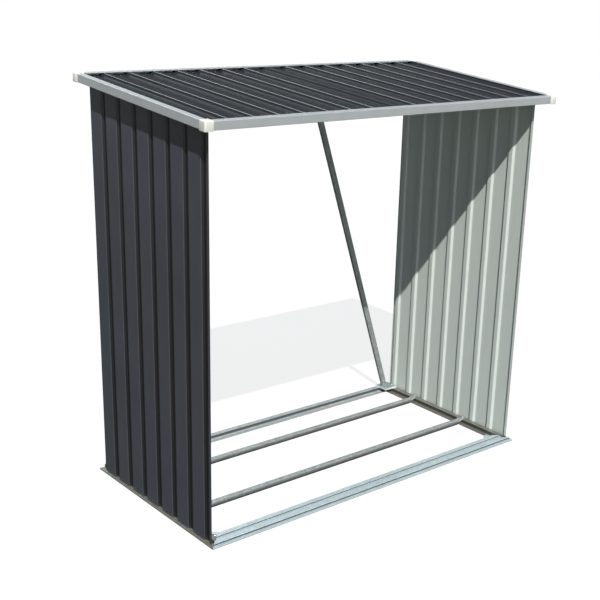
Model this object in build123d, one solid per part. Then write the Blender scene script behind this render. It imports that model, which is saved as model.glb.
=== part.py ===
"""Open log store of profiled steel sheet: a floor frame, two ribbed walls and a lean-to roof.

Frame: +X right, +Y to the rear, +Z up, millimetres. The origin is on the ground, under the middle
of the overall box. The front is open and looks along -Y. The roof falls to the front.
"""
import math
import os
from build123d import *

# Overall size
overall_width = 1630.0
overall_depth = 830.0
overall_height = 1540.0
roof_slope_deg = 4.3

# How far the roof stands out past the walls
side_overhang = 49.0
front_overhang = 57.0
rear_overhang = 12.0

# Profiled sheet, shared by the walls and the roof
sheet_t = 0.8
rib_top = 19.0
rib_web = 7.0
rib_depth = 9.0

# Walls: each sheet's ribs are counted from the cut rib on one edge
wall_pitch = 104.0
wall_half_rib = 12.0

# Floor rails
rail_t = 1.0
rail_height = 20.0
rail_top = 24.0
rail_inner_flange = 20.0
toe_height = 6.0
sill_step_height = 14.0
sill_toe = 10.0
sill_ledge = 31.0
sill_top = 20.0
sill_inner_flange = 12.0
floor_toe = 10.0
rear_toe = 4.0
front_stand_out = 22.0
rear_stand_out = 14.0

# Floor beams across the frame
beam_t = 1.2
beam_width = 22.0
beam_front_setback = 274.0
beam_rear_setback = 212.0
beam_tab = 20.0
beam_end_gap = 2.0

# Floor corner plates: raised pans at the rear, flat plates at the front
plate_t = 1.2
front_plate_size = 45.0
plate_gap = 0.2
plate_size = 70.0
plate_rise = 7.0
plate_bevel = 5.5
plate_inset = 2.0

# Roof frame under the sheets
top_rail_t = 1.2
top_rail_leg = 25.0
top_rail_drop = 25.0
gusset_size = 70.0
gusset_t = 1.5
gusset_gap = 0.3
front_rail_inset = 10.0

# Rear braces
brace_t = 1.2
brace_face = 25.0
brace_flange = 12.0
brace_foot_inset = 41.0
brace_reach = 505.0
brace_rear_inset = 18.0
brace_head_gap = 4.0

# Roof sheets and edge trims
roof_pitch = 100.0
trim_t = 1.0
trim_face = 29.0
trim_flange = 26.0
trim_return = 8.0
sheet_edge_gap = 4.0
lap_flat = 8.0
lap_joggle = 6.0

# Corner caps
cap_wall = 2.0
cap_size = 32.0
cap_drop = 2.0
cap_round = 3.0

# Worked out from the sizes above
slope = math.radians(roof_slope_deg)
crest_z = rib_depth + 2 * sheet_t
flange_top_z = crest_z + trim_t
cap_top_z = flange_top_z + cap_wall
trim_bottom_z = flange_top_z - trim_face
cap_bottom_z = trim_bottom_z - cap_drop
cap_height = cap_top_z - cap_bottom_z
roof_length = (overall_depth - cap_height * math.sin(slope)) / math.cos(slope)
roof_shift_y = (cap_top_z + cap_bottom_z) / 2 * math.sin(slope)
roof_mid_z = overall_height - roof_length / 2 * math.sin(slope) - cap_top_z * math.cos(slope)
trim_half_w = overall_width / 2 - cap_wall
trim_half_l = roof_length / 2 - cap_wall
wall_front_y = front_overhang - overall_depth / 2
wall_rear_y = overall_depth / 2 - rear_overhang
wall_depth = wall_rear_y - wall_front_y
wall_outer_x = overall_width / 2 - side_overhang
wall_inner_x = wall_outer_x - rib_depth - sheet_t
floor_front_y = wall_front_y - front_stand_out
floor_rear_y = wall_rear_y + rear_stand_out
floor_half_w = wall_outer_x + floor_toe
rail_flange = floor_half_w - wall_inner_x
side_toe = rail_flange + rail_t
rail_width = side_toe + rail_top + rail_inner_flange
rear_square_end = side_toe - rear_toe
front_rail_y = wall_front_y + front_rail_inset
brace_plane_y = wall_rear_y - brace_rear_inset

roof_frame = Location((0, roof_shift_y, roof_mid_z), (roof_slope_deg, 0, 0))
parts = {}


def roof_under_z(y):
    """Height of the underside of the roof sheet's valleys at a distance y to the rear."""
    return roof_mid_z + (y - roof_shift_y) * math.tan(slope)


def side_shift(line, distance):
    """Move an open line of points sideways by a distance, to its left, with mitred corners."""
    moved = []
    for i, (x, y) in enumerate(line):
        before = line[max(i - 1, 0)]
        after = line[min(i + 1, len(line) - 1)]
        into = math.atan2(y - before[1], x - before[0]) if i > 0 else None
        out = math.atan2(after[1] - y, after[0] - x) if i < len(line) - 1 else into
        into = out if into is None else into
        middle = (into + out) / 2
        reach = distance / math.cos((out - into) / 2)
        moved.append((x - reach * math.sin(middle), y + reach * math.cos(middle)))
    return moved


def strip(line, thickness):
    """A thin bent strip: an open line of points given a thickness to its left."""
    return make_face(Polyline(*line, *reversed(side_shift(line, thickness)), close=True))


def ribbed_line(start, end, rib_centres):
    """The line of a profiled sheet: flats at 0, with ribs rising to the rib depth."""
    line = [(start, 0.0)]
    for centre in rib_centres:
        half = rib_top / 2
        shoulder = [
            (centre - half - rib_web, 0.0),
            (centre - half, rib_depth),
            (centre + half, rib_depth),
            (centre + half + rib_web, 0.0),
        ]
        line += shoulder
    line.append((end, 0.0))
    inside = [p for p in line[1:-1] if start < p[0] < end]
    first = level_at(start, rib_centres)
    last = level_at(end, rib_centres)
    return [(start, first)] + inside + [(end, last)]


def level_at(place, rib_centres):
    """Height of the sheet's line at one place along it."""
    reach = min(abs(place - centre) for centre in rib_centres)
    rise = (rib_top / 2 + rib_web - reach) / rib_web
    return rib_depth * min(1.0, max(0.0, rise))


def rail_section(moves):
    """A stepped rail's line, as (width, rise) moves from the foot of its upright outer edge inwards."""
    line = [(rail_t, 0.0), (rail_t, toe_height - rail_t)]
    for across, rise in moves:
        x, z = line[-1]
        line.append((x + across, z + rise))
    return line


# Floor rails: folded strips, mitred at the corners. The walls stand on the side rails' outer toe
def plain_line(toe):
    """The line of a rail with one raised channel, behind a toe of a given width."""
    return rail_section([
        (toe - rail_t, 0),
        (0, rail_height - toe_height),
        (rail_top, 0),
        (0, rail_t - rail_height),
        (rail_inner_flange, 0),
    ])


sill_line = rail_section([
    (sill_toe - rail_t, 0),
    (0, sill_step_height - toe_height),
    (sill_ledge, 0),
    (0, rail_height - sill_step_height),
    (sill_top, 0),
    (0, rail_t - rail_height),
    (sill_inner_flange, 0),
])


def mitre_keeper(length, width, low, high, square_end=0):
    """The space an edge piece along X keeps between two 45 degree mitres; the +X one may start late."""
    keep = [
        (-length / 2, 0),
        (length / 2, 0),
        (length / 2, square_end),
        (length / 2 - width - 1 + square_end, width + 1),
        (-length / 2 + width + 1, width + 1),
    ]
    if square_end == 0:
        keep.pop(2)
    return Pos(0, 0, low) * extrude(make_face(Polyline(*keep, close=True)), high - low)


def mitred_rail(line, length, square_end=0):
    """A rail along X with its toe on the X axis, growing towards +Y, and both ends mitred."""
    rail = extrude(Plane.YZ * strip(line, rail_t), length / 2, both=True)
    return rail & mitre_keeper(length, line[-1][0], 0, rail_height, square_end)


floor_mid_y = (floor_front_y + floor_rear_y) / 2
side_rail = mitred_rail(plain_line(side_toe), floor_rear_y - floor_front_y, rear_square_end)
right_rail = Pos(floor_half_w, floor_mid_y, 0) * Rot(0, 0, 90) * side_rail
rear_rail = mitred_rail(plain_line(rear_toe), 2 * (floor_half_w - rear_square_end))
parts["front_floor_rail"] = Pos(0, floor_front_y, 0) * mitred_rail(sill_line, 2 * floor_half_w)
parts["rear_floor_rail"] = Pos(0, floor_rear_y, 0) * Rot(0, 0, 180) * rear_rail
parts["right_floor_rail"] = right_rail
parts["left_floor_rail"] = mirror(right_rail, about=Plane.YZ)

# Floor beams: inverted channels whose flattened ends lap onto the side rails
beam_clear_x = floor_half_w - rail_width - beam_end_gap
tab_end_x = wall_inner_x - rail_t - (rail_top - beam_tab) / 2


def floor_beam(y):
    """A channel with its open side down, standing on the ground between the side rails."""
    top = Box(2 * tab_end_x, beam_width, beam_t, align=(Align.CENTER, Align.CENTER, Align.MIN))
    top = fillet(top.edges().filter_by(Axis.Z), beam_width / 2 - 1)
    beam = Pos(0, 0, rail_height) * top
    for side in (-1, 1):
        web = Box(2 * beam_clear_x, beam_t, rail_height, align=(Align.CENTER, Align.CENTER, Align.MIN))
        beam += Pos(0, side * (beam_width - beam_t) / 2, 0) * web
    return Pos(0, y, 0) * beam


parts["front_floor_beam"] = floor_beam(floor_front_y + beam_front_setback)
parts["rear_floor_beam"] = floor_beam(floor_rear_y - beam_rear_setback)


# Floor corner plates: pressed pans over the rear mitres, bevelled on their two inner edges
def corner_pan():
    """A pan with its outer corner at the origin, reaching +X and +Y, its rim standing on z = 0."""
    pan = Box(plate_size, plate_size, plate_rise, align=(Align.MIN, Align.MIN, Align.MIN))
    top = pan.edges().group_by(Axis.Z)[-1]
    inner = [top.sort_by(Axis.X)[-1], top.sort_by(Axis.Y)[-1]]
    pan = chamfer(inner, plate_bevel)
    return offset(pan, -plate_t, openings=pan.faces().sort_by(Axis.Z)[0])


pan_x = wall_inner_x - plate_inset
pan_y = floor_rear_y - rear_toe + rail_t - plate_inset
right_pan = Pos(pan_x, pan_y, rail_height) * Rot(0, 0, 180) * corner_pan()
parts["right_rear_corner_plate"] = right_pan
parts["left_rear_corner_plate"] = mirror(right_pan, about=Plane.YZ)

# The front ones lie on the rails' inner flanges, in the corner between the two rails
plate_x = floor_half_w - side_toe - rail_top - rail_t - plate_gap
plate_y = floor_front_y + sill_toe + sill_ledge + sill_top + rail_t + plate_gap
front_outline = Polyline(
    (0, 0),
    (0, front_plate_size),
    (-front_plate_size / 2, front_plate_size),
    (-front_plate_size, front_plate_size / 2),
    (-front_plate_size, 0),
    close=True,
)
front_plate = Pos(plate_x, plate_y, rail_t) * extrude(make_face(front_outline), plate_t)
parts["right_front_corner_plate"] = front_plate
parts["left_front_corner_plate"] = mirror(front_plate, about=Plane.YZ)

# Walls: one profiled sheet each, ribs inwards, the right one a half turn of the left one
wall_bays = int((wall_depth - wall_half_rib - rib_web) // wall_pitch)
wall_ribs = [wall_half_rib - rib_top / 2 + i * wall_pitch for i in range(wall_bays + 1)]
wall_line = ribbed_line(0.0, wall_depth, wall_ribs)
wall_mid_y = (wall_front_y + wall_rear_y) / 2


def wall_sheet():
    """The left wall's sheet, uncut at the top: its line runs from the rear edge to the front."""
    outer = [(depth - wall_outer_x, wall_depth / 2 - run) for run, depth in wall_line]
    return extrude(strip(outer, sheet_t), overall_height)


roof_plane = Plane(origin=(0, 0, roof_under_z(0)), z_dir=(0, -math.sin(slope), math.cos(slope)))
for side, turn in (("left", 0), ("right", 180)):
    sheet = Pos(0, wall_mid_y, toe_height) * Rot(0, 0, turn) * wall_sheet()
    parts[side + "_wall_sheet"] = split(sheet, bisect_by=roof_plane, keep=Keep.BOTTOM)


# Roof frame: angles under the sheets, tied by a flat gusset in each corner
def side_top_rail():
    """The left angle, in the roof's frame: one leg on the wall's ribs and one under the sheets."""
    line = [
        (-wall_inner_x, -top_rail_drop),
        (-wall_inner_x, 0),
        (-wall_inner_x + top_rail_leg, 0),
    ]
    return extrude(Plane.XZ * strip(line, -top_rail_t), -wall_depth)


def cross_top_rail(y, inwards):
    """An angle between the side rails with a plumb leg at y and a sloping leg under the sheets."""
    tip = y + inwards * top_rail_leg
    back = y + inwards * top_rail_t
    section = Polyline(
        (y, roof_under_z(y)),
        (tip, roof_under_z(tip)),
        (tip, roof_under_z(tip) - top_rail_t),
        (back, roof_under_z(back) - top_rail_t),
        (back, roof_under_z(y) - top_rail_drop),
        (y, roof_under_z(y) - top_rail_drop),
        close=True,
    )
    return extrude(Plane.YZ * make_face(section), cross_rail_half, both=True)


cross_rail_half = wall_inner_x - top_rail_leg
left_top_rail = roof_frame * Pos(0, wall_front_y / math.cos(slope), 0) * side_top_rail()
parts["left_top_rail"] = left_top_rail
parts["right_top_rail"] = mirror(left_top_rail, about=Plane.YZ)
parts["front_top_rail"] = cross_top_rail(front_rail_y, 1)
parts["rear_top_rail"] = cross_top_rail(brace_plane_y, -1)


def gusset(y, inwards):
    """The right one: a flat plate under the legs of the side rail and of the cross rail at y."""
    plate = Box(gusset_size, gusset_size, gusset_t, align=(Align.MAX, Align.CENTER, Align.MAX))
    clear = top_rail_t + gusset_gap
    middle_y = y + inwards * (clear + gusset_size / 2)
    return roof_frame * Pos(wall_inner_x - clear, middle_y, -top_rail_t) * plate


for end, y, inwards in (("front", front_rail_y, 1), ("rear", brace_plane_y, -1)):
    right_gusset = gusset(y, inwards)
    parts["right_" + end + "_gusset"] = right_gusset
    parts["left_" + end + "_gusset"] = mirror(right_gusset, about=Plane.YZ)


# Rear braces: angles that lean in from the rear floor corners to the rear top rail
def rear_brace():
    """The right brace: its face is behind the rear top rail's leg, its flange on the inner edge."""
    foot_x = wall_inner_x - brace_foot_inset
    foot_z = rail_height + plate_rise
    head_z = roof_under_z(brace_plane_y) - brace_head_gap
    lean = math.atan2(brace_reach, head_z - foot_z)
    length = (head_z - foot_z) / math.cos(lean) + 2 * brace_face
    line = [
        (-brace_face / 2, brace_flange),
        (-brace_face / 2, 0),
        (brace_face / 2, 0),
    ]
    angle = extrude(strip(line, brace_t), length / 2, both=True)
    middle = Pos(foot_x - brace_reach / 2, brace_plane_y, (foot_z + head_z) / 2)
    angle = middle * Rot(0, -math.degrees(lean), 0) * angle
    angle = split(angle, bisect_by=Plane.XY.offset(foot_z), keep=Keep.TOP)
    return split(angle, bisect_by=Plane.XY.offset(head_z), keep=Keep.BOTTOM)


right_brace = rear_brace()
parts["right_rear_brace"] = right_brace
parts["left_rear_brace"] = mirror(right_brace, about=Plane.YZ)

# Roof sheets: ribs upwards, the right sheet lapped over the left one's last rib
sheet_half_w = trim_half_w - trim_t - sheet_edge_gap
sheet_half_l = trim_half_l - trim_t - sheet_edge_gap
side_bays = int(sheet_half_w // roof_pitch)
roof_ribs = [i * roof_pitch for i in range(-side_bays, side_bays + 1)]
lap_reach = rib_top / 2 + rib_web + lap_flat


def roof_sheet(line):
    """A profiled sheet from the line of its underside, running front to rear."""
    return roof_frame * extrude(Plane.XZ * strip(line, sheet_t), sheet_half_l, both=True)


left_line = ribbed_line(-sheet_half_w, lap_reach, [x for x in roof_ribs if x <= 0])
over_lap = side_shift(ribbed_line(-lap_reach, lap_reach + sheet_t, [0.0]), sheet_t)
right_line = ribbed_line(lap_reach + lap_joggle, sheet_half_w, [x for x in roof_ribs if x > 0])
parts["left_roof_sheet"] = roof_sheet(left_line)
parts["right_roof_sheet"] = roof_sheet(over_lap + right_line)


# Roof edge trims: folded channels over the sheet edges, mitred at the corners
def edge_trim(length):
    """A trim along X, its face on the X axis and its flanges reaching +Y, both ends mitred."""
    line = [
        (trim_flange, flange_top_z),
        (0, flange_top_z),
        (0, trim_bottom_z),
        (trim_return, trim_bottom_z),
    ]
    trim = extrude(Plane.YZ * strip(line, trim_t), length / 2, both=True)
    return trim & mitre_keeper(length, trim_flange, trim_bottom_z, flange_top_z)


for name, half_run, half_far, turn in (
    ("front", trim_half_w, trim_half_l, 0),
    ("right", trim_half_l, trim_half_w, 90),
    ("rear", trim_half_w, trim_half_l, 180),
    ("left", trim_half_l, trim_half_w, 270),
):
    trim = Rot(0, 0, turn) * Pos(0, -half_far, 0) * edge_trim(2 * half_run)
    parts[name + "_roof_trim"] = roof_frame * trim


# Corner caps: moulded shells pushed over the mitred trims, open inwards and below
def corner_cap():
    """The front left cap in the roof's frame."""
    block = Box(cap_size, cap_size, cap_height, align=(Align.MIN, Align.MIN, Align.MIN))
    upright = block.edges().filter_by(Axis.Z).sort_by_distance((0, 0, 0))[0]
    rim = block.faces().sort_by(Axis.Z)[-1].edges()
    outer_rim = [rim.sort_by(Axis.X)[0], rim.sort_by(Axis.Y)[0]]
    block = fillet([upright] + outer_rim, cap_round)
    hollow = Box(cap_size, cap_size, cap_height, align=(Align.MIN, Align.MIN, Align.MIN))
    shell = block - Pos(cap_wall, cap_wall, -cap_wall) * hollow
    return Pos(-overall_width / 2, -roof_length / 2, cap_bottom_z) * shell


front_left_cap = corner_cap()
front_right_cap = mirror(front_left_cap, about=Plane.YZ)
for front, cap in (("left", front_left_cap), ("right", front_right_cap)):
    parts[front + "_front_cap"] = roof_frame * cap
    parts[front + "_rear_cap"] = roof_frame * mirror(cap, about=Plane.XZ)

os.makedirs("parts", exist_ok=True)
for name, solid in parts.items():
    export_step(solid, "parts/" + name + ".step")
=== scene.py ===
"""Looks of the open log store: profiled sheets, folded rails, trims, caps, fasteners and finishes.

All lengths are metres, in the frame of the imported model: X right, Y to the rear, Z up.
"""
import math

import bmesh
import bpy
import numpy as np
from mathutils import Matrix, Vector


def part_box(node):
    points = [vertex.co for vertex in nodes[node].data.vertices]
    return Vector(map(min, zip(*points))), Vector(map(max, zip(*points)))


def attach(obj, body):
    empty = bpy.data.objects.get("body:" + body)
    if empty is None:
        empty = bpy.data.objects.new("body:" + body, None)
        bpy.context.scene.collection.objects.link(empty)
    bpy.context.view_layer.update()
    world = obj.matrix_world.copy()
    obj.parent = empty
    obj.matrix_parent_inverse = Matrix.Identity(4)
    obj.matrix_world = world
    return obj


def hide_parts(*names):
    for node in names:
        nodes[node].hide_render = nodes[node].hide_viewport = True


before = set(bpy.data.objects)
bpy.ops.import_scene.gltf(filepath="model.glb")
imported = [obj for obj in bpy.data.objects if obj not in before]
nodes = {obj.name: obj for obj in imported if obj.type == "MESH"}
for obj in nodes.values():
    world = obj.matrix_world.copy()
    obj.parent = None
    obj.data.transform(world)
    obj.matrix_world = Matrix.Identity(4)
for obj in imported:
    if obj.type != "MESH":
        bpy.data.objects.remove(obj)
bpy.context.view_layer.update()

scene = bpy.context.scene

# Profiled sheets: the solids' roll-formed profile, drawn with a thinner gauge
SHEET_GAUGE = 0.0006
SOLID_GAUGE = 0.0008
RIB_TOP = 0.019
RIB_WEB = 0.007
RIB_DEPTH = 0.009
RIB_HALF = RIB_TOP / 2 + RIB_WEB
SHEET_BEND = 0.0030
WALL_PITCH = 0.104
WALL_FIRST_RIB = 0.0025
ROOF_PITCH = 0.100
ROOF_SLOPE = math.radians(4.3)
LAP_FLAT = 0.008
LAP_REACH = RIB_HALF + LAP_FLAT
LAP_JOGGLE = 0.006

# Folded steel of the frame
RAIL_GAUGE = 0.001
RAIL_BEND = 0.0022
RAIL_HEIGHT = 0.020
RAIL_TOP = 0.024
RAIL_INNER_FLANGE = 0.020
TOE_HEIGHT = 0.006
REAR_TOE = 0.004
SILL_TOE = 0.010
SILL_STEP = 0.014
SILL_LEDGE = 0.031
SILL_TOP = 0.020
SILL_INNER_FLANGE = 0.012
SILL_UNDERCUT = 0.0020
SILL_BEND = 0.0010
WEB_LEAN = 0.003
BEAM_GAUGE = 0.0012
BEAM_TOP = RAIL_HEIGHT + BEAM_GAUGE
BEAM_HALF_W = 0.011
BEAM_SHOULDER = 0.006
BEAM_CLEAR = 0.004
TAB_HALF_W = 0.016
PAN_BEVEL = 0.0062
ANGLE_GAUGE = 0.0012
ANGLE_LEG = 0.025
BRACE_FACE = 0.025
BRACE_FLANGE = 0.012

# Roof edge trims and the caps over their corners
TRIM_GAUGE = 0.0008
TRIM_FACE = 0.029
TRIM_FLANGE = 0.026
TRIM_RETURN = 0.008
TRIM_BEND = 0.0016
HEM = 0.006
HEM_GAP = 2.2 * TRIM_GAUGE
TRIM_REACH = 0.005
TRIM_CLEAR = 0.001
CREST_Z = RIB_DEPTH + 2 * SOLID_GAUGE
TRIM_TOP_Z = CREST_Z + TRIM_CLEAR
TRIM_BOTTOM_Z = TRIM_TOP_Z - TRIM_FACE
CAP_SIZE = 0.032
CAP_DROP = 0.002
CAP_WALL = 0.002
CAP_ROUND = 0.003
CAP_RIM_ROUND = 0.0004


# Lines and bent strips
def rounded_line(corners, radius, steps=4, lead=0.0004):
    """An open line whose corners are arcs: centre + radius * (cos, sin), tangent to both runs.

    An arc starts radius * tan(half its turn) before the corner. A point a short lead away from
    each arc keeps the flats beside it flat under smooth shading. On a short run each of them
    takes at most its share of the run.
    """
    arc_share, lead_share = 0.42, 0.06
    p = np.asarray(corners, float)
    run = np.diff(p, axis=0)
    length = np.hypot(run[:, 0], run[:, 1])
    unit = run / length[:, None]
    before, after = unit[:-1], unit[1:]
    turn = np.arctan2(
        before[:, 0] * after[:, 1] - before[:, 1] * after[:, 0], (before * after).sum(1)
    )
    tangent = np.tan(np.abs(turn) / 2)
    reach = np.minimum(radius * tangent, arc_share * np.minimum(length[:-1], length[1:]))
    bend = reach / tangent
    side = np.sign(turn)[:, None] * np.stack([-before[:, 1], before[:, 0]], 1)
    centre = p[1:-1] - before * reach[:, None] + side * bend[:, None]
    first = np.arctan2(-side[:, 1], -side[:, 0])
    angle = first[:, None] + turn[:, None] * np.linspace(0, 1, steps + 1)
    arc = centre[:, None] + bend[:, None, None] * np.stack([np.cos(angle), np.sin(angle)], -1)
    short = np.minimum(lead, lead_share * length)
    lead_in = p[1:-1] - before * (reach + short[:-1])[:, None]
    lead_out = p[1:-1] + after * (reach + short[1:])[:, None]
    bends = np.concatenate([lead_in[:, None], arc, lead_out[:, None]], 1).reshape(-1, 2)
    return np.concatenate([p[:1], bends, p[-1:]])


def beside(line, distance):
    """The line moved to its left by a distance: along each point's mean normal over cos(half turn)."""
    run = np.diff(line, axis=0)
    run /= np.hypot(run[:, 0], run[:, 1])[:, None]
    both = np.vstack([run[:1], run]) + np.vstack([run, run[-1:]])
    normal = np.stack([-both[:, 1], both[:, 0]], 1)
    return line + distance * normal * 2 / (normal**2).sum(1)[:, None]


def strip_points(line, gauge, start, end, stations):
    """A bent strip as (station, face, place on the line, 3) points.

    The first face follows the line (a, b) and the second lies a gauge to its left. Each point
    runs along from start(a, b) to end(a, b) in equal steps, so that cut and mitred ends are flat.
    """
    faces = np.stack([line, beside(line, gauge)])
    a, b = faces[..., 0], faces[..., 1]
    share = np.linspace(0, 1, stations)[:, None, None]
    s = start(a, b) + (end(a, b) - start(a, b)) * share
    return np.stack([np.broadcast_to(a, s.shape), np.broadcast_to(b, s.shape), s], -1)


def grid_quads(index):
    """Quads between neighbours of a grid of point numbers."""
    corners = [index[:-1, :-1], index[1:, :-1], index[1:, 1:], index[:-1, 1:]]
    return np.stack(corners, -1).reshape(-1, 4)


def strip_quads(stations, places):
    """The quads of a closed strip, and for each its skin: 0 first face, 1 second face, 2 cut edge."""
    index = np.arange(stations * 2 * places).reshape(stations, 2, places)
    groups = [
        grid_quads(index[:, 0]),
        grid_quads(index[:, 1]),
        grid_quads(index[:, :, 0]),
        grid_quads(index[:, :, -1]),
        grid_quads(index[0]),
        grid_quads(index[-1]),
    ]
    skin = np.repeat([0, 1, 2, 2, 2, 2], [len(g) for g in groups])
    return np.concatenate(groups), skin


def put(name, points, quads, skins, materials, replaced=(), smooth=35, recalc=True):
    """Makes one piece from arrays of points and quads, and gives it its body, slot and finish.

    A closed piece has its normals recalculated; an open skin keeps the turn of its quads.
    """
    points = np.ascontiguousarray(points.reshape(-1, 3), np.float32)
    mesh = bpy.data.meshes.new(name)
    mesh.vertices.add(len(points))
    mesh.vertices.foreach_set("co", points.ravel())
    mesh.loops.add(quads.size)
    mesh.loops.foreach_set("vertex_index", quads.ravel().astype(np.int32))
    mesh.polygons.add(len(quads))
    mesh.polygons.foreach_set("loop_start", np.arange(len(quads), dtype=np.int32) * 4)
    mesh.polygons.foreach_set("material_index", np.asarray(skins, np.int32))
    mesh.update(calc_edges=True)
    mesh.validate()
    if recalc:
        work = bmesh.new()
        work.from_mesh(mesh)
        bmesh.ops.recalc_face_normals(work, faces=work.faces)
        work.to_mesh(mesh)
        work.free()
    mesh.shade_smooth()
    mesh.set_sharp_from_angle(angle=math.radians(smooth))
    for material in materials:
        mesh.materials.append(material)
    piece = bpy.data.objects.new(name, mesh)
    scene.collection.objects.link(piece)
    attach(piece, "root")
    if replaced:
        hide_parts(*replaced)
    return piece


def fold(name, line, gauge, start, end, origin, axes, materials, replaced=(), stations=2):
    """A bent strip of sheet: (a, b, s) points placed at origin + a, b and s times the three axes."""
    shell = strip_points(line, gauge, start, end, stations)
    points = np.asarray(origin, float) + shell @ np.asarray(axes, float)
    quads, skins = strip_quads(stations, len(line))
    return put(name, points, quads, skins, materials, replaced)


def thickened(piece, gauge):
    """Gives an open skin its gauge, behind the side that its faces look to."""
    shell = piece.modifiers.new("gauge", "SOLIDIFY")
    shell.thickness, shell.offset = gauge, -1


def rounded_edges(piece, name, width, segments):
    """Rounds the sharp edges of a piece."""
    bevel = piece.modifiers.new(name, "BEVEL")
    bevel.width, bevel.segments, bevel.limit_method = width, segments, "ANGLE"


def at(value):
    """An end of a strip that is cut square."""
    return lambda a, b: np.full_like(a, value)


def mirrored(axes, origin, side):
    """Axes and origin for the right side (1) or, mirrored in X, for the left side (-1)."""
    flip = np.array([side, 1.0, 1.0])
    return np.asarray(origin, float) * flip, np.asarray(axes, float) * flip


# Colours and nodes
def linear(code):
    """A linear colour from an sRGB hex value."""
    srgb = np.array([int(code[i:i + 2], 16) for i in (1, 3, 5)]) / 255
    rgb = np.where(srgb <= 0.04045, srgb / 12.92, ((srgb + 0.055) / 1.055) ** 2.4)
    return (*rgb, 1.0)


def add(tree, kind, values=(), links=(), **settings):
    """Adds one node with its settings, its sockets' values and its links."""
    node = tree.nodes.new("ShaderNode" + kind)
    for key, value in settings.items():
        setattr(node, key, value)
    for key, value in dict(values).items():
        node.inputs[key].default_value = value
    for key, source in dict(links).items():
        tree.links.new(source, node.inputs[key])
    return node


def new_finish(name, **sockets):
    """A material with one Principled shader; its constant sockets are set on the shader itself."""
    material = bpy.data.materials.new(name)
    material.use_nodes = True
    tree = material.node_tree
    shader = tree.nodes["Principled BSDF"]
    for key, value in sockets.items():
        shader.inputs[key.replace("_", " ")].default_value = value
    place = add(tree, "TexCoord").outputs["Object"]
    return material, tree, shader, place


def per_metre(size_mm):
    """A texture scale for a pattern of a given real size."""
    return 1000.0 / size_mm


def bump(tree, shader, height, depth_mm, strength=1.0):
    """A bump of a real depth on the shader's normal."""
    node = add(
        tree, "Bump", {"Strength": strength, "Distance": depth_mm / 1000}, {"Height": height}
    )
    tree.links.new(node.outputs["Normal"], shader.inputs["Normal"])


def ranged(tree, source, low, high):
    """A factor from 0 to 1 stretched between two values."""
    return add(tree, "MapRange", {"To Min": low, "To Max": high}, {"Value": source}).outputs[0]


def smooth_range(tree, source, start, end, low, high):
    """A smooth step from low to high as the source runs from start to end."""
    limits = {"From Min": start, "From Max": end, "To Min": low, "To Max": high}
    node = add(tree, "MapRange", limits, {"Value": source}, interpolation_type="SMOOTHSTEP")
    return node.outputs[0]


def mixed(tree, factor, dark, light):
    """A colour between two shades."""
    mix = add(tree, "Mix", (), {"Factor": factor}, data_type="RGBA")
    mix.inputs[6].default_value = linear(dark)
    mix.inputs[7].default_value = linear(light)
    return mix.outputs[2]


def tinted(tree, shader, factor, dark, light):
    """A base colour that drifts between two shades."""
    tree.links.new(mixed(tree, factor, dark, light), shader.inputs["Base Color"])


def kept_where(tree, shader, factor, other):
    """Keeps the base colour where the factor is 1 and gives way to another where it is 0."""
    own = shader.inputs["Base Color"].links[0].from_socket
    blend = add(tree, "Mix", (), {"Factor": factor, 7: own}, data_type="RGBA")
    blend.inputs[6].default_value = linear(other)
    tree.links.new(blend.outputs[2], shader.inputs["Base Color"])


def coil_coating(name, dark, light, low, high):
    """Anthracite polyester coil coating on steel, roller-coated.

    The eye sees a dark satin skin with a very fine orange peel and faint cloudy drift.
    """
    material, tree, shader, place = new_finish(name, IOR=1.5)
    cloud = add(tree, "TexNoise", {"Scale": per_metre(160), "Detail": 3.0}, {"Vector": place})
    peel = add(tree, "TexNoise", {"Scale": per_metre(1.6), "Detail": 1.0}, {"Vector": place})
    shade = mixed(tree, cloud.outputs["Fac"], dark, light)
    tree.links.new(shade, shader.inputs["Base Color"])
    rough = ranged(tree, cloud.outputs["Fac"], low, high)
    tree.links.new(rough, shader.inputs["Roughness"])
    bump(tree, shader, peel.outputs["Fac"], 0.03, 0.3)
    return material, tree, shader, place


def wall_coating():
    """The same coating on the walls, with painted shade in the grooves where the ribs sink inwards.

    The eye sees slate-grey flats, with darker bands of painted shade in the grooves.
    """
    material, tree, shader, place = coil_coating(
        "anthracite_coil_coating_walls", "#3b3f47", "#454951", 0.30, 0.42
    )
    full_shade_depth, tone_change_depth = 0.0030, 0.0010
    across = add(tree, "SeparateXYZ", (), {0: place}).outputs["X"]
    distance = add(tree, "Math", (), {0: across}, operation="ABSOLUTE").outputs[0]
    full_shade_x, shade_start_x = WALL_OUTER - full_shade_depth, WALL_OUTER - tone_change_depth
    outer = smooth_range(tree, distance, full_shade_x, shade_start_x, 0.0, 1.0)
    # painted shade: from 1 to 3 mm inside the outer flats, the colour fades to near black
    kept_where(tree, shader, outer, "#191b1e")
    return material


def back_coat():
    """Light grey-green back coat on the same steel, thin and fairly glossy.

    The eye sees a pale cool grey with soft reflections, and a trace of roller streaks along Z.
    """
    material, tree, shader, place = new_finish("pale_back_coat", IOR=1.5)
    stretch = add(tree, "Mapping", {"Scale": (1.0, 1.0, 0.06)}, {"Vector": place})
    streak = add(
        tree, "TexNoise", {"Scale": per_metre(9), "Detail": 2.0},
        {"Vector": stretch.outputs["Vector"]},
    )
    tinted(tree, shader, streak.outputs["Fac"], "#b8c2bf", "#c3cccb")
    rough = ranged(tree, streak.outputs["Fac"], 0.26, 0.38)
    tree.links.new(rough, shader.inputs["Roughness"])
    bump(tree, shader, streak.outputs["Fac"], 0.02, 0.3)
    return material


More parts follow.
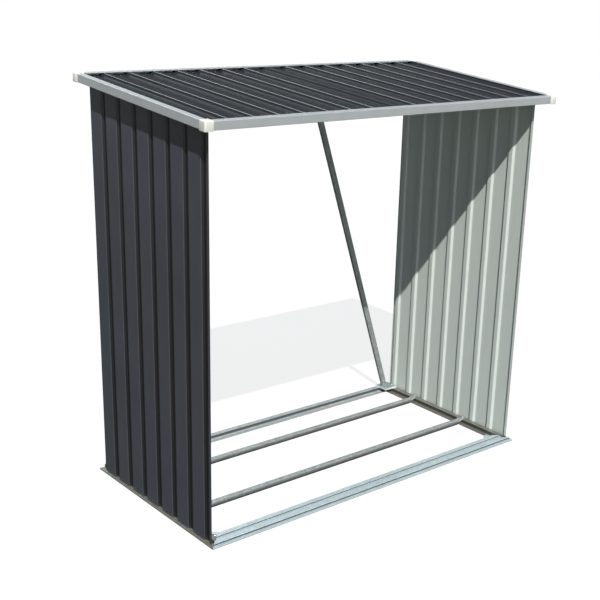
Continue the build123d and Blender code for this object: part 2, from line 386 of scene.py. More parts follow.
def galvanised_steel(name, dark, light, low, high, metal):
    """Hot-dip galvanised steel with spangle, drawn 9 mm wide; zinc that dulls is less metallic.

    The eye sees a cool grey metal whose crystals differ a little in tone and in gloss.
    """
    material, tree, shader, place = new_finish(name, Metallic=metal)
    spangle = add(tree, "TexVoronoi", {"Scale": per_metre(9)}, {"Vector": place})
    grey = add(tree, "RGBToBW", (), {"Color": spangle.outputs["Color"]})
    haze = add(tree, "TexNoise", {"Scale": per_metre(60), "Detail": 4.0}, {"Vector": place})
    tones = {0: grey.outputs[0], 1: haze.outputs["Fac"]}
    blend = add(tree, "Math", (), tones, operation="MULTIPLY")
    tinted(tree, shader, blend.outputs[0], dark, light)
    rough = ranged(tree, grey.outputs[0], low, high)
    tree.links.new(rough, shader.inputs["Roughness"])
    fine = add(tree, "TexNoise", {"Scale": per_metre(2.5), "Detail": 2.0}, {"Vector": place})
    bump(tree, shader, fine.outputs["Fac"], 0.02, 0.3)
    return material, tree, shader, place


def roof_coating():
    """The same coating on the roof: only the bends of the crests stay glossy, dust mattes the rest.

    The eye sees dark flats and a fine pale line along each crest, where its bend mirrors the sky.
    """
    material, tree, shader, place = coil_coating(
        "anthracite_coil_coating_roof", "#25282d", "#2e3136", 0.20, 0.28
    )
    matt, glossy = 0.03, 0.6
    web_end, bend_start = 0.0018, 0.0011
    bend_end, top_start = 0.0003, 0.0001
    tilted = add(tree, "VectorMath", {1: ROOF_UP}, {0: place}, operation="DOT_PRODUCT")
    above = tilted.outputs["Value"]
    crest = float(np.dot(ROOF_UP, ROOF_ORIGIN)) + RIB_DEPTH + SHEET_GAUGE
    over_web = smooth_range(tree, above, crest - web_end, crest - bend_start, matt, glossy)
    off_top = smooth_range(tree, above, crest - bend_end, crest - top_start, glossy, matt)
    bend = add(tree, "Math", (), {0: over_web, 1: off_top}, operation="MINIMUM")
    tree.links.new(bend.outputs[0], shader.inputs["Specular IOR Level"])
    return material


def stepped_zinc(name, dark, light, low, high, treads, riser_shade):
    """Galvanised steel of a stepped rail, in its own colour on its toe and its level treads.

    The eye sees pale cool treads, and under each step an upright face darkened with painted shade.
    """
    toe_rim, tread_reach = 0.0008, 0.0009
    material, tree, shader, place = galvanised_steel(name, dark, light, low, high, 0.40)
    height = add(tree, "SeparateXYZ", (), {0: place}).outputs["Z"]

    def band(middle, reach):
        """1 within a reach of one height, and 0 elsewhere."""
        heights = {1: middle, 2: reach}
        return add(tree, "Math", heights, {0: height}, operation="COMPARE").outputs[0]

    toe_and_treads = band(TOE_HEIGHT / 2, TOE_HEIGHT / 2 + toe_rim)
    for tread in treads:
        pair = {0: band(tread, tread_reach), 1: toe_and_treads}
        toe_and_treads = add(tree, "Math", (), pair, operation="MAXIMUM").outputs[0]
    # painted shade: every upright face off the toe and the treads takes the darker colour
    kept_where(tree, shader, toe_and_treads, riser_shade)
    return material


def pan_zinc():
    """Bright galvanised steel of the pressed pans, with a darker grey on their flat tops.

    The eye sees bright bevelled rims round a duller top.
    """
    material, tree, shader, place = galvanised_steel(
        "bright_galvanised_pans", "#bfcdd2", "#dae7ec", 0.28, 0.40, 0.40
    )
    tone_change_depth = 0.0012
    height = add(tree, "SeparateXYZ", (), {0: place}).outputs["Z"]
    rim_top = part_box("right_rear_corner_plate")[1][2] - tone_change_depth
    rim = add(tree, "Math", {1: rim_top}, {0: height}, operation="LESS_THAN").outputs[0]
    # the flat top, within a little over a millimetre of its height, takes a darker grey than the rims
    kept_where(tree, shader, rim, "#8e999d")
    return material


def trim_coating():
    """Light grey coated steel of the roof trims, satin, with faint clouds and orange peel.

    The eye sees a clean pale grey edge, brighter on top than on its face.
    """
    material, tree, shader, place = new_finish("light_grey_trim_coating", IOR=1.5, Metallic=0.25)
    cloud = add(tree, "TexNoise", {"Scale": per_metre(70), "Detail": 3.0}, {"Vector": place})
    tinted(tree, shader, cloud.outputs["Fac"], "#a8aeb3", "#b4babf")
    rough = ranged(tree, cloud.outputs["Fac"], 0.36, 0.46)
    tree.links.new(rough, shader.inputs["Roughness"])
    peel = add(tree, "TexNoise", {"Scale": per_metre(1.6)}, {"Vector": place})
    bump(tree, shader, peel.outputs["Fac"], 0.02, 0.3)
    return material


def moulded_cap_plastic():
    """Off-white polypropylene, injection moulded with a fine spark-eroded grain.

    The eye sees soft, faintly translucent corners, a little whiter than the trims.
    """
    material, tree, shader, place = new_finish(
        "moulded_off_white_polypropylene", IOR=1.49, Subsurface_Weight=0.12, Subsurface_Scale=0.004
    )
    grain = add(tree, "TexNoise", {"Scale": per_metre(0.9), "Detail": 2.0}, {"Vector": place})
    cloud = add(tree, "TexNoise", {"Scale": per_metre(25)}, {"Vector": place})
    tinted(tree, shader, cloud.outputs["Fac"], "#e1e3dd", "#ebede7")
    rough = ranged(tree, grain.outputs["Fac"], 0.42, 0.58)
    tree.links.new(rough, shader.inputs["Roughness"])
    bump(tree, shader, grain.outputs["Fac"], 0.03, 0.5)
    return material


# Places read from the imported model
wall_low, wall_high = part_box("right_wall_sheet")
WALL_FRONT, WALL_REAR = wall_low[1], wall_high[1]
WALL_OUTER = wall_high[0]
WALL_INNER = wall_low[0]
WALL_FOOT = wall_low[2]
floor_low, floor_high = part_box("right_floor_rail")
FLOOR_HALF_W = floor_high[0]
FLOOR_FRONT, FLOOR_REAR = floor_low[1], floor_high[1]
SIDE_TOE = FLOOR_HALF_W - WALL_INNER + RAIL_GAUGE
sheet_low, sheet_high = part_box("left_roof_sheet")
CREST_TOP = RIB_DEPTH + SOLID_GAUGE
ROOF_COS, ROOF_SIN = math.cos(ROOF_SLOPE), math.sin(ROOF_SLOPE)
SHEET_HALF_L = (sheet_high[1] - sheet_low[1] - CREST_TOP * ROOF_SIN) / (2 * ROOF_COS)
SHEET_HALF_W = -sheet_low[0]
ROOF_Y = sheet_high[1] - SHEET_HALF_L * ROOF_COS
ROOF_Z = sheet_low[2] + SHEET_HALF_L * ROOF_SIN
ROOF_ORIGIN = (0.0, ROOF_Y, ROOF_Z)
ACROSS = np.array([1.0, 0.0, 0.0])
REARWARD = np.array([0.0, 1.0, 0.0])
UPWARD = np.array([0.0, 0.0, 1.0])
ROOF_UP = np.array([0.0, -ROOF_SIN, ROOF_COS])
ROOF_REARWARD = np.array([0.0, ROOF_COS, ROOF_SIN])
TRIM_HALF_W = -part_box("left_roof_trim")[0][0]
TRIM_HALF_L = SHEET_HALF_L + TRIM_REACH
WALL_RIBS = int((WALL_REAR - WALL_FRONT - WALL_FIRST_RIB) / WALL_PITCH) + 1
ROOF_SIDE_RIBS = int(SHEET_HALF_W / ROOF_PITCH)

# Finishes, and the skins of a strip: its first face, its second face and its cut edges
BACK_COAT = back_coat()
ROOF_COATING = roof_coating()
WALL_COATING = wall_coating()
# The last colour of each stepped rail is painted shade on its upright faces
SILL_ZINC = stepped_zinc(
    "bright_galvanised_sill", "#b6c6cc", "#cddce2", 0.30, 0.38, (SILL_STEP, RAIL_HEIGHT), "#4f585c"
)
RAIL_ZINC = stepped_zinc(
    "dull_galvanised_rails", "#9ea5a8", "#c4cbce", 0.32, 0.46, (RAIL_HEIGHT,), "#5c6163"
)
# The side rails take a darker, olive zinc all over
SIDE_ZINC = stepped_zinc(
    "darker_galvanised_side_rails", "#6e7069", "#8b8d85", 0.36, 0.50, (RAIL_HEIGHT,), "#4f514b"
)
PAN_ZINC = pan_zinc()
BRIGHT_ZINC = galvanised_steel("bright_galvanised", "#bfcdd2", "#dae7ec", 0.28, 0.40, 0.40)[0]
DULL_ZINC = galvanised_steel("dull_galvanised_frame", "#8d9395", "#b6bdc0", 0.32, 0.48, 0.45)[0]
CUT_EDGE = galvanised_steel("zinc_cut_edge", "#6f7476", "#9fa5a8", 0.40, 0.55, 0.80)[0]
SCREW_ZINC = galvanised_steel("zinc_plated_fasteners", "#b9bcba", "#dcdedb", 0.22, 0.34, 0.90)[0]
PAINTED_HEADS = coil_coating("painted_screw_heads", "#1d1f23", "#26282c", 0.5, 0.6)[0]
TRIM = trim_coating()
CAP = moulded_cap_plastic()
WALL_SKINS = (WALL_COATING, BACK_COAT, CUT_EDGE)
ROOF_SKINS = (BACK_COAT, ROOF_COATING, CUT_EDGE)
FRAME_SKINS = (DULL_ZINC, DULL_ZINC, CUT_EDGE)
SILL_SKINS = (SILL_ZINC, SILL_ZINC, SILL_ZINC)
RAIL_SKINS = (RAIL_ZINC, RAIL_ZINC, CUT_EDGE)
SIDE_SKINS = (SIDE_ZINC, SIDE_ZINC, CUT_EDGE)
TRIM_SKINS = (TRIM, BACK_COAT, TRIM)

# The solids that no piece replaces show as they are, in the first finish whose word they bear
NODE_FINISHES = (("cap", CAP), ("trim", TRIM), ("plate", BRIGHT_ZINC), ("", DULL_ZINC))
for node_name, node in nodes.items():
    finish = next(finish for word, finish in NODE_FINISHES if word in node_name)
    node.data.materials.clear()
    node.data.materials.append(finish)


def roof_under_z(y):
    """Height of the underside of the roof sheets' valleys at a distance y to the rear."""
    return ROOF_Z + (y - ROOF_Y) * math.tan(ROOF_SLOPE)


# Profiled sheets
def rib_corners(centres, start, end):
    """Corners of a profiled sheet's line: flats at 0 and ribs risen to the rib depth.

    Each rib gives four corners at centre -/+ (half top + web) and centre -/+ half top; a rib
    that an end of the sheet cuts keeps the part inside, ending on its own web or top. A corner
    within a hair of an end is that end.
    """
    hair = 1e-5
    centres = np.asarray(centres, float)[:, None]
    offsets = np.array([-RIB_HALF, -RIB_TOP / 2, RIB_TOP / 2, RIB_HALF])
    run = (centres + offsets).ravel()
    rise = np.tile([0.0, RIB_DEPTH, RIB_DEPTH, 0.0], len(centres))
    ends = np.array([start, end])
    reach = np.abs(ends[:, None] - centres.T).min(1)
    levels = RIB_DEPTH * np.clip((RIB_HALF - reach) / RIB_WEB, 0, 1)
    inside = (run > start + hair) & (run < end - hair)
    run = np.concatenate([[start], run[inside], [end]])
    rise = np.concatenate([levels[:1], rise[inside], levels[1:]])
    return np.stack([run, rise], 1)


def wall(side):
    """One wall: the profile in plan, carried up from the rail's toe to the underside of the roof."""
    steps = WALL_FIRST_RIB + WALL_PITCH * np.arange(WALL_RIBS)
    centres = WALL_FRONT + steps if side > 0 else WALL_REAR - steps[::-1]
    line = rounded_line(rib_corners(centres, WALL_FRONT, WALL_REAR), SHEET_BEND)
    name = "right" if side > 0 else "left"
    origin, axes = mirrored([REARWARD, -ACROSS, UPWARD], (WALL_OUTER, 0.0, 0.0), side)
    fold(
        name + "_profiled_wall", line, SHEET_GAUGE, at(WALL_FOOT), lambda a, b: roof_under_z(a),
        origin, axes, WALL_SKINS, (name + "_wall_sheet",), stations=3,
    )


def roof_sheets():
    """Two sheets carried front to rear; the right one nests over the left one's middle rib."""
    left = rib_corners(
        -ROOF_PITCH * np.arange(ROOF_SIDE_RIBS, -1, -1), -SHEET_HALF_W, LAP_REACH
    )
    over = beside(rib_corners([0.0], -LAP_REACH, LAP_REACH), SOLID_GAUGE)
    right = rib_corners(
        ROOF_PITCH * np.arange(1, ROOF_SIDE_RIBS + 1), LAP_REACH + LAP_JOGGLE, SHEET_HALF_W
    )
    for name, corners in (("left", left), ("right", np.vstack([over, right]))):
        line = rounded_line(corners, SHEET_BEND)
        fold(
            name + "_profiled_roof", line, SHEET_GAUGE, at(-SHEET_HALF_L), at(SHEET_HALF_L),
            ROOF_ORIGIN, [ACROSS, ROOF_UP, ROOF_REARWARD], ROOF_SKINS,
            (name + "_roof_sheet",), stations=3,
        )


# Roof edge trims with a hem, and their caps
def trims():
    """Four folded trims: a channel line with a hem, mitred by ending half_run minus a."""
    corners = [
        (TRIM_FLANGE - HEM, TRIM_TOP_Z - HEM_GAP),
        (TRIM_FLANGE, TRIM_TOP_Z - HEM_GAP),
        (TRIM_FLANGE, TRIM_TOP_Z),
        (0, TRIM_TOP_Z),
        (0, TRIM_BOTTOM_Z),
        (TRIM_RETURN, TRIM_BOTTOM_Z),
    ]
    line = rounded_line(corners, TRIM_BEND)
    for name, half_run, half_far, along, inward in (
        ("front", TRIM_HALF_W, TRIM_HALF_L, ACROSS, ROOF_REARWARD),
        ("rear", TRIM_HALF_W, TRIM_HALF_L, -ACROSS, -ROOF_REARWARD),
        ("right", TRIM_HALF_L, TRIM_HALF_W, ROOF_REARWARD, -ACROSS),
        ("left", TRIM_HALF_L, TRIM_HALF_W, -ROOF_REARWARD, ACROSS),
    ):
        fold(
            name + "_edge_trim", line, TRIM_GAUGE,
            lambda a, b, h=half_run: a - h, lambda a, b, h=half_run: h - a,
            np.array(ROOF_ORIGIN) - inward * half_far, [inward, ROOF_UP, along],
            TRIM_SKINS, (name + "_roof_trim",), stations=2,
        )


def caps():
    """Corner caps: three faces of a box with rounded outer edges, thickened inwards."""
    size = CAP_SIZE
    top, low = TRIM_TOP_Z + CAP_WALL, TRIM_BOTTOM_Z - CAP_DROP
    corner = np.array([
        (0, 0, top), (size, 0, top), (size, size, top), (0, size, top),
        (0, 0, low), (size, 0, low), (0, size, low),
    ])
    quads = np.array([(0, 1, 2, 3), (4, 5, 1, 0), (6, 4, 0, 3)])
    for name, sx, sy in (
        ("left_front", -1, -1), ("right_front", 1, -1), ("left_rear", -1, 1), ("right_rear", 1, 1)
    ):
        x = sx * (TRIM_HALF_W + CAP_WALL - corner[:, 0])
        along = sy * (TRIM_HALF_L + CAP_WALL - corner[:, 1])
        points = np.asarray(ROOF_ORIGIN) + (
            x[:, None] * ACROSS + along[:, None] * ROOF_REARWARD + corner[:, 2:] * ROOF_UP
        )
        turned = quads if sx * sy > 0 else quads[:, ::-1]
        piece = put(
            name + "_moulded_cap", points, turned, np.zeros(3), (CAP,),
            (name + "_cap",), recalc=False,
        )
        rounded_edges(piece, "outer edges", CAP_ROUND, segments=4)
        thickened(piece, CAP_WALL)
        rounded_edges(piece, "rim", CAP_RIM_ROUND, segments=2)


# Floor frame
def rail_line(moves, bend=RAIL_BEND):
    """A stepped rail's line from the foot of its upright outer edge, rounded at its bends."""
    start = [(RAIL_GAUGE, 0.0), (RAIL_GAUGE, TOE_HEIGHT - RAIL_GAUGE)]
    corners = np.vstack([start, start[-1] + np.cumsum(moves, axis=0)])
    return rounded_line(corners, bend, steps=3)


def floor_rails():
    """Front sill, rear rail and two side rails, their ends mitred from the outer corners."""
    channel = [
        (0, RAIL_HEIGHT - TOE_HEIGHT), (RAIL_TOP, 0), (-WEB_LEAN, RAIL_GAUGE - RAIL_HEIGHT),
        (WEB_LEAN + RAIL_INNER_FLANGE, 0),
    ]
    side_line = rail_line([(SIDE_TOE - RAIL_GAUGE, 0)] + channel)
    rear_line = rail_line([(REAR_TOE - RAIL_GAUGE, 0)] + channel)
    sill = rail_line([
        (SILL_TOE - RAIL_GAUGE + SILL_UNDERCUT, 0), (-SILL_UNDERCUT, SILL_STEP - TOE_HEIGHT),
        (SILL_LEDGE + SILL_UNDERCUT, 0), (-SILL_UNDERCUT, RAIL_HEIGHT - SILL_STEP),
        (SILL_TOP, 0), (0, RAIL_GAUGE - RAIL_HEIGHT), (SILL_INNER_FLANGE, 0),
    ], SILL_BEND)
    square = SIDE_TOE - REAR_TOE
    rear_half = FLOOR_HALF_W - square
    fold(
        "front_sill", sill, RAIL_GAUGE,
        lambda a, b: a - FLOOR_HALF_W, lambda a, b: FLOOR_HALF_W - a,
        (0, FLOOR_FRONT, 0), [REARWARD, UPWARD, ACROSS], SILL_SKINS,
        ("front_floor_rail",), stations=9,
    )
    fold(
        "rear_rail", rear_line, RAIL_GAUGE,
        lambda a, b: a - rear_half, lambda a, b: rear_half - a,
        (0, FLOOR_REAR, 0), [-REARWARD, UPWARD, ACROSS], RAIL_SKINS,
        ("rear_floor_rail",), stations=9,
    )
    for name, side in (("left", -1), ("right", 1)):
        origin, axes = mirrored([-ACROSS, UPWARD, REARWARD], (FLOOR_HALF_W, 0, 0), side)
        fold(
            name + "_side_rail", side_line, RAIL_GAUGE,
            lambda a, b: FLOOR_FRONT + a, lambda a, b: FLOOR_REAR - np.maximum(a - square, 0),
            origin, axes, SIDE_SKINS, (name + "_floor_rail",), stations=7,
        )


def smooth_step(value):
    """0 below 0, 1 above 1, and 3 v^2 - 2 v^3 between."""
    v = np.clip(value, 0, 1)
    return v * v * (3 - 2 * v)


def floor_beams():
    """Two channels whose ends are pressed flat into rounded tabs.

    Round the section, points go from the channel's line to a flat line as the smooth step of
    the distance past the start of the pressing. Along the beam, rows crowd towards the ends,
    and near a tip they draw in by the nose's share of a half circle over the tab's width. The
    middle of the top is one more point, and a pivot below the channel puts all in their order.
    """
    press_lead, press_run = 0.006, 0.030
    nose_run, nose_share = 0.028, 0.9
    middle_reach, middle_rows = 0.6, 13
    end_lead, end_count = 0.012, 15
    pivot_drop = 0.05
    top, half_w, tab_half = BEAM_TOP, BEAM_HALF_W, TAB_HALF_W
    tip = float(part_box("front_floor_beam")[1][0])
    clear = FLOOR_HALF_W - SIDE_TOE - RAIL_TOP - RAIL_INNER_FLANGE - BEAM_CLEAR
    channel = rounded_line(
        [(-half_w, 0.0), (-half_w, top), (half_w, top), (half_w, 0.0)], BEAM_SHOULDER, steps=7
    )
    channel = np.concatenate([channel, [[0, top]]])
    channel = channel[np.argsort(np.arctan2(channel[:, 0], channel[:, 1] + pivot_drop))]
    arc = np.concatenate([[0], np.cumsum(np.hypot(*np.diff(channel, axis=0).T))])
    flat_y = (arc / arc[-1] * 2 - 1) * tab_half
    end_rows = clear - end_lead + (tip - clear + end_lead) * np.linspace(0, 1, end_count)
    middle = np.linspace(-middle_reach, middle_reach, middle_rows)
    rows = np.concatenate([-end_rows[::-1], middle, end_rows])
    press = smooth_step((np.abs(rows) - clear + press_lead) / press_run)[:, None]
    y = channel[:, 0] * (1 - press) + flat_y * press
    z = channel[:, 1] * (1 - press) + top * press
    nose = tab_half * (1 - np.sqrt(np.clip(1 - (y / tab_half) ** 2, 0, 1)))
    near_tip = smooth_step((np.abs(rows) - tip + nose_run) / nose_run)[:, None]
    x = rows[:, None] - np.sign(rows)[:, None] * nose * near_tip * nose_share
    grid = np.stack([x, y, z], -1)
    quads = grid_quads(np.arange(x.size).reshape(x.shape))
    for name in ("front", "rear"):
        low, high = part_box(name + "_floor_beam")
        points = grid + np.array([0, (low[1] + high[1]) / 2, 0])
        piece = put(
            name + "_pressed_beam", points, quads, np.zeros(len(quads)), (DULL_ZINC,),
            (name + "_floor_beam",), recalc=False,
        )
        normal_z = np.zeros(len(quads) * 3)
        piece.data.polygons.foreach_get("normal", normal_z)
        if normal_z[2::3].sum() < 0:
            piece.data.flip_normals()
        thickened(piece, BEAM_GAUGE)


def corner_pans():
    """Rear corner pans: height * the smooth step of the lower of two ramps from the inner edges.

    A ramp starts at the lip and reaches 1 a bevel further in; the edges themselves lie at 0.
    """
    lip = 0.15
    even_rows, bevel_rows, bevel_reach = 41, 8, 1.3
    low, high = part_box("right_rear_corner_plate")
    size, height = high[0] - low[0], high[2] - low[2]
    even = size * np.linspace(0, 1, even_rows)
    bevelled = size - PAN_BEVEL * np.linspace(0, bevel_reach, bevel_rows)
    edge = np.unique(np.concatenate([even, bevelled]))
    a, b = np.meshgrid(edge, edge, indexing="ij")
    ramp = np.minimum(size - a, size - b) / PAN_BEVEL
    z = np.where(ramp > 0, height * smooth_step(lip + (1 - lip) * ramp), 0.0)
    quads = grid_quads(np.arange(a.size).reshape(a.shape))
    for name, side in (("left", -1), ("right", 1)):
        points = np.stack([side * (high[0] - a), high[1] - b, low[2] + z], -1)
        piece = put(
            name + "_rear_pan", points, quads[:, ::side], np.zeros(len(quads)), (PAN_ZINC,),
            (name + "_rear_corner_plate",), recalc=False,
        )
        thickened(piece, BEAM_GAUGE)


# Roof frame and braces
def top_rails():
    """Angles under the roof sheets with a rounded heel: side ones in the roof's own frame."""
    leg = ANGLE_LEG
    heel = rounded_line([(0, -leg), (0, 0), (leg, 0)], RAIL_BEND)
    length = WALL_REAR - WALL_FRONT
    start = WALL_FRONT / ROOF_COS
    for name, side in (("left", -1), ("right", 1)):
        origin, axes = mirrored(
            [-ACROSS, ROOF_UP, ROOF_REARWARD], (WALL_INNER, ROOF_Y, ROOF_Z), side
        )
        fold(
            name + "_roof_angle", heel, -ANGLE_GAUGE, at(start), at(start + length),
            origin, axes, FRAME_SKINS, (name + "_top_rail",), stations=5,
        )
    half = WALL_INNER - leg
    for name, inward in (("front", 1), ("rear", -1)):
        low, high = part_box(name + "_top_rail")
        y = low[1] if inward > 0 else high[1]
        slant = inward * leg * math.tan(ROOF_SLOPE)
        line = rounded_line([(0, -leg), (0, 0), (leg, slant)], RAIL_BEND)
        fold(
            name + "_roof_angle", line, -ANGLE_GAUGE, at(-half), at(half),
            (0, y, roof_under_z(y)), [inward * REARWARD, UPWARD, ACROSS], FRAME_SKINS,
            (name + "_top_rail",), stations=9,
        )


def braces():
    """Two leaning angles; their ends are cut level, so the run ends where z reaches the cut.

    In the brace's box the lean is atan((wide - face / cos(lean)) / height), because a level cut
    widens the face by 1 / cos(lean). It stands on both sides, so it is found in a few rounds.
    """
    rounds = 20
    low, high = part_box("right_rear_brace")
    height = high[2] - low[2]
    wide = high[0] - low[0]
    lean = math.atan2(wide, height)
    for _ in range(rounds):
        lean = math.atan2(wide - BRACE_FACE / math.cos(lean), height)
    middle = (low + high) / 2
    up_lean = np.array([-math.sin(lean), 0, math.cos(lean)])
    across = np.array([math.cos(lean), 0, math.sin(lean)])
    half = BRACE_FACE / 2
    line = rounded_line([(-half, BRACE_FLANGE), (-half, 0), (half, 0)], RAIL_BEND)
    cut = height / 2

    def level(sign):
        """The run at which a point reaches the cut above (1) or below (-1) the middle."""
        return lambda a, b: (sign * cut - a * math.sin(lean)) / math.cos(lean)

    for name, side in (("left", -1), ("right", 1)):
        origin, axes = mirrored(
            [across, REARWARD, up_lean], (middle[0], low[1], middle[2]), side
        )
        fold(
            name + "_leaning_brace", line, ANGLE_GAUGE, level(-1), level(1),
            origin, axes, FRAME_SKINS, (name + "_rear_brace",), stations=9,
        )


# Fasteners: rings of a turned head as (radius in mm, height in mm, 1 where it is hexagonal)
BOLT = [(6.2, 0, 0), (6.2, 1.1, 0), (5.6, 1.4, 0), (5.2, 1.4, 1), (5.2, 4.0, 1), (4.3, 4.7, 0)]
SCREW = [(4.0, 0, 0), (4.0, 0.7, 0), (3.5, 1.7, 0), (2.3, 2.3, 0)]


def fasteners(name, heads, places, normals, finish):
    """Turned heads: rings of 12 points at radius * (cos, sin) round each place's normal.

    A hexagonal ring draws every second point in to cos(30 degrees) of its radius.
    """
    sides, rings, near_x = 12, len(heads), 0.9
    places, normals = np.asarray(places, float), np.asarray(normals, float)
    normals /= np.linalg.norm(normals, axis=1)[:, None]
    off_axis = np.where(np.abs(normals[:, :1]) < near_x, ACROSS, REARWARD)
    side = np.cross(normals, off_axis)
    side /= np.linalg.norm(side, axis=1)[:, None]
    other = np.cross(normals, side)
    radius, height, hexagonal = np.array(heads, float).T[:, :, None]
    turn = np.arange(sides) * 2 * math.pi / sides
    drawn_in = 1 - (np.arange(sides) % 2) * (1 - math.cos(math.pi / 6)) * hexagonal
    reach = radius / 1000 * drawn_in
    level = np.broadcast_to(height / 1000, reach.shape)
    ring = np.stack([reach * np.cos(turn), reach * np.sin(turn), level])
    axes = np.stack([side, other, normals], 1)
    points = places[:, None, None] + np.einsum("crs,ncx->nrsx", ring, axes)
    index = np.arange(rings * sides).reshape(rings, sides)
    band = grid_quads(np.concatenate([index, index[:, :1]], 1))
    step = np.arange(sides // 2 - 1)
    lid = np.stack([step, step + 1, sides - 2 - step, sides - 1 - step], 1)
    one = np.concatenate([band, lid, lid[:, ::-1] + (rings - 1) * sides])
    quads = (one + np.arange(len(places))[:, None, None] * rings * sides).reshape(-1, 4)
    put(name, points, quads, np.zeros(len(quads)), (finish,), smooth=25)


def frame_bolts():
    """Bolts with washers through the beams' tabs, the pans, the front plates and the braces.

    Each place is worked out from the edges of its solid; a brace's bolts follow its lean.
    """
    pan_inner, pan_outer, pan_front, plate_edge = 0.014, 0.013, 0.018, 0.014
    brace_end, brace_edge, brace_level_face = 0.022, 0.0134, 0.0267
    tab_x = FLOOR_HALF_W - SIDE_TOE - RAIL_TOP / 2
    places = []
    for name in ("front", "rear"):
        low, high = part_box(name + "_floor_beam")
        places += [(side * tab_x, (low[1] + high[1]) / 2, BEAM_TOP) for side in (-1, 1)]
    pan_low, pan_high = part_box("right_rear_corner_plate")
    plate_low, plate_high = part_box("right_front_corner_plate")
    plate_x, plate_y = plate_high[0] - plate_edge, plate_low[1] + plate_edge
    for side in (-1, 1):
        for x in (pan_low[0] + pan_inner, pan_high[0] - pan_outer):
            places.append((side * x, pan_low[1] + pan_front, pan_high[2]))
        places.append((side * plate_x, plate_y, plate_high[2]))
    normals = [UPWARD] * len(places)
    low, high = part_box("right_rear_brace")
    height = high[2] - low[2]
    run = (high[0] - low[0] - brace_level_face) / height
    for side in (-1, 1):
        for up in (brace_end, height - brace_end):
            places.append((side * (high[0] - brace_edge - run * up), low[1], low[2] + up))
            normals.append(-REARWARD)
    fasteners("frame_bolts", BOLT, places, normals, SCREW_ZINC)


def sheet_screws():
    """Painted self-drilling screws through the flats: walls at foot and head, roof at both rails."""
    foot_z, head_drop, roof_lift = 0.0135, 0.013, 0.0007
    places, normals = [], []
    for side in (-1, 1):
        first = WALL_FRONT if side > 0 else WALL_REAR
        ribs = first + side * (WALL_FIRST_RIB + WALL_PITCH * np.arange(WALL_RIBS - 1))
        for y in ribs + side * WALL_PITCH / 2:
            places += [(side * WALL_OUTER, y, z) for z in (foot_z, roof_under_z(y) - head_drop)]
            normals += [side * ACROSS] * 2
    fasteners("wall_screws", SCREW, places, normals, PAINTED_HEADS)
    flats = ROOF_PITCH * (np.arange(-ROOF_SIDE_RIBS, ROOF_SIDE_RIBS) + 0.5)
    places = []
    for name in ("front", "rear"):
        low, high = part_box(name + "_top_rail")
        along = ((low[1] + high[1]) / 2 - ROOF_Y) / ROOF_COS
        row = np.array(ROOF_ORIGIN) + along * ROOF_REARWARD + roof_lift * ROOF_UP
        places += [row + x * ACROSS for x in flats]
    fasteners("roof_screws", SCREW, places, [ROOF_UP] * len(places), PAINTED_HEADS)


wall(-1)
wall(1)
roof_sheets()
trims()
caps()
floor_rails()
floor_beams()
corner_pans()
top_rails()
braces()
frame_bolts()
sheet_screws()


# Floor, light and camera: a fade runs over a span of a ray's cosine, of its Y or of its Z
SUN_LEVEL, SUN_ANGLE = 5.0, 0.6
SUN_TRAVEL = (0.50, 0.79, -1.0)
FILL_LEVEL, FILL_ANGLE = 0.35, 30.0
FILL_TRAVEL = (0.30, 0.92, -0.25)
LAMP_AWAY = 4.0
SKY_FRONT, SKY_REAR = 0.72, 0.24
SKY_TOWARD = (-0.64, -0.77, 0.0)
SKY_FADE = (-0.5, 1.0)
SHEEN_FRONT, SHEEN_REAR = 1.8, 0.7
SHEEN_FADE = (-1.0, 0.6)
SOFT_BOX = 7.0
SOFT_BOX_TOWARD = (0.170, 0.707, 0.687)
SOFT_BOX_FADE = (0.955, 0.985)
OVERHEAD_FADE = (0.30, 0.75)
HAZE_FADE = (0.06, 0.22)
FLOOR_REACH = 14.0
FLOOR_DROP = 0.0002
FLOOR_GLOW = 0.84


def direct_view(tree):
    """1 for what the camera sees, straight or through something clear, and 0 for other rays."""
    path = add(tree, "LightPath")
    rays = {0: path.outputs["Is Camera Ray"], 1: path.outputs["Is Transmission Ray"]}
    return add(tree, "Math", (), rays, operation="MAXIMUM").outputs[0]


def floor_finish():
    """Plain pale floor: the camera sees it nearly white with the object's soft shadow.

    All other rays meet a mid-grey ground, so that it throws little light up into the shade.
    """
    material = bpy.data.materials.new("pale_floor")
    material.use_nodes = True
    tree = material.node_tree
    tree.nodes.clear()
    ground = add(tree, "BsdfDiffuse", {"Color": linear("#4c4d4a")})
    white = add(tree, "BsdfDiffuse", {"Color": linear("#f4f4f4")})
    glow = add(tree, "Emission", {"Color": (1, 1, 1, 1), "Strength": 1.0})
    pale = add(tree, "MixShader", {0: FLOOR_GLOW}, {1: white.outputs[0], 2: glow.outputs[0]})
    seen = direct_view(tree)
    mix = add(tree, "MixShader", (), {0: seen, 1: ground.outputs[0], 2: pale.outputs[0]})
    output = add(tree, "OutputMaterial")
    tree.links.new(mix.outputs[0], output.inputs["Surface"])
    return material


def stage_floor():
    """A flat floor just under the feet."""
    points = FLOOR_REACH * np.array([(-1, -1, 0), (1, -1, 0), (1, 1, 0), (-1, 1, 0)])
    points[:, 2] = -FLOOR_DROP
    mesh = bpy.data.meshes.new("floor")
    mesh.from_pydata(points.tolist(), [], [(0, 1, 2, 3)])
    mesh.materials.append(floor_finish())
    floor = bpy.data.objects.new("floor", mesh)
    scene.collection.objects.link(floor)


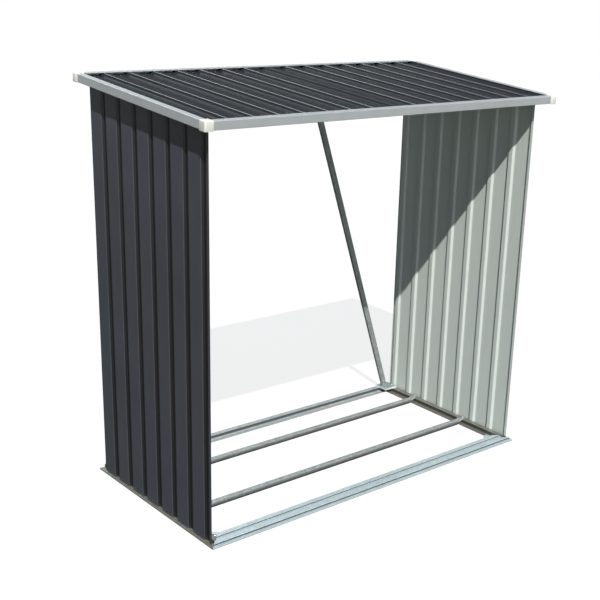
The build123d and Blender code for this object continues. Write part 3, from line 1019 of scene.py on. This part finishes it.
def soft_world():
    """White behind the object; as light, a pale haze along the horizon and a cool sky overhead.

    A grey band lies between them. Most fill light comes from the front left. Glossy rays meet a
    level of their own, brighter to the front, and a soft box high at the rear.
    """
    world = bpy.data.worlds.new("studio")
    scene.world = world
    world.use_nodes = True
    tree = world.node_tree
    tree.nodes.clear()
    direction = add(tree, "TexCoord").outputs["Generated"]
    parts = add(tree, "SeparateXYZ", (), {0: direction}).outputs
    glossy = add(tree, "LightPath").outputs["Is Glossy Ray"]

    def cosine_to(toward):
        """The cosine of the angle between a ray and one direction."""
        dot = add(tree, "VectorMath", {1: toward}, {0: direction}, operation="DOT_PRODUCT")
        return dot.outputs["Value"]

    fill = smooth_range(tree, cosine_to(SKY_TOWARD), *SKY_FADE, SKY_REAR, SKY_FRONT)
    sheen = smooth_range(tree, parts["Y"], *SHEEN_FADE, SHEEN_FRONT, SHEEN_REAR)
    box = smooth_range(tree, cosine_to(SOFT_BOX_TOWARD), *SOFT_BOX_FADE, 0.0, 1.0)
    lit = {0: box, 2: sheen}
    sheen = add(tree, "Math", {1: SOFT_BOX}, lit, operation="MULTIPLY_ADD").outputs[0]
    strength = add(tree, "Mix", (), {"Factor": glossy, 2: fill, 3: sheen}, data_type="FLOAT")
    overhead = smooth_range(tree, parts["Z"], *OVERHEAD_FADE, 0.0, 1.0)
    haze = smooth_range(tree, parts["Z"], *HAZE_FADE, 1.0, 0.0)
    pale = add(tree, "Math", (), {0: haze, 1: box}, operation="MAXIMUM").outputs[0]
    upper = mixed(tree, overhead, "#565c62", "#bfd6ea")
    sky = add(tree, "Mix", (), {"Factor": pale, 6: upper}, data_type="RGBA")
    sky.inputs[7].default_value = linear("#f0f1ee")
    light = add(
        tree, "Background", (), {"Color": sky.outputs[2], "Strength": strength.outputs[0]}
    )
    white = add(tree, "Background", {"Color": (1, 1, 1, 1), "Strength": 1.0})
    seen = direct_view(tree)
    mix = add(tree, "MixShader", (), {0: seen, 1: light.outputs[0], 2: white.outputs[0]})
    output = add(tree, "OutputWorld")
    tree.links.new(mix.outputs[0], output.inputs["Surface"])


def far_lamp(name, level, angle, colour, travel):
    """A lamp far off, as wide as its angle in degrees, whose light runs along one direction."""
    lamp = bpy.data.lights.new(name, "SUN")
    lamp.energy, lamp.angle = level, math.radians(angle)
    lamp.color = linear(colour)[:3]
    source = bpy.data.objects.new(name, lamp)
    source.rotation_euler = Vector(travel).to_track_quat("-Z", "Y").to_euler()
    source.location = -LAMP_AWAY * Vector(travel)
    scene.collection.objects.link(source)


def photo_camera():
    """The photograph's view: a place, three angles, a focal length and an optical centre."""
    place = (-2.665, -3.229, 1.964)
    yaw, pitch, roll = (math.radians(v) for v in (42.47, -19.57, 2.56))
    focal_px, centre_px, frame_px = 1107.6, (375.0, 349.6), 600.0
    ahead = Vector((
        math.sin(yaw) * math.cos(pitch), math.cos(yaw) * math.cos(pitch), math.sin(pitch)
    ))
    level = Vector((math.cos(yaw), -math.sin(yaw), 0))
    above = level.cross(ahead)
    right = level * math.cos(roll) + above * math.sin(roll)
    up = above * math.cos(roll) - level * math.sin(roll)
    data = bpy.data.cameras.new("camera")
    data.sensor_width = 36.0
    data.lens = focal_px * data.sensor_width / frame_px
    data.shift_x = (frame_px / 2 - centre_px[0]) / frame_px
    data.shift_y = (centre_px[1] - frame_px / 2) / frame_px
    camera = bpy.data.objects.new("camera", data)
    turn = Matrix((right, up, -ahead)).transposed()
    camera.matrix_world = Matrix.Translation(place) @ turn.to_4x4()
    scene.collection.objects.link(camera)
    scene.camera = camera


stage_floor()
soft_world()
far_lamp("key", SUN_LEVEL, SUN_ANGLE, "#fffaf2", SUN_TRAVEL)
far_lamp("fill", FILL_LEVEL, FILL_ANGLE, "#f6f4ea", FILL_TRAVEL)
photo_camera()
scene.view_settings.view_transform = "Standard"
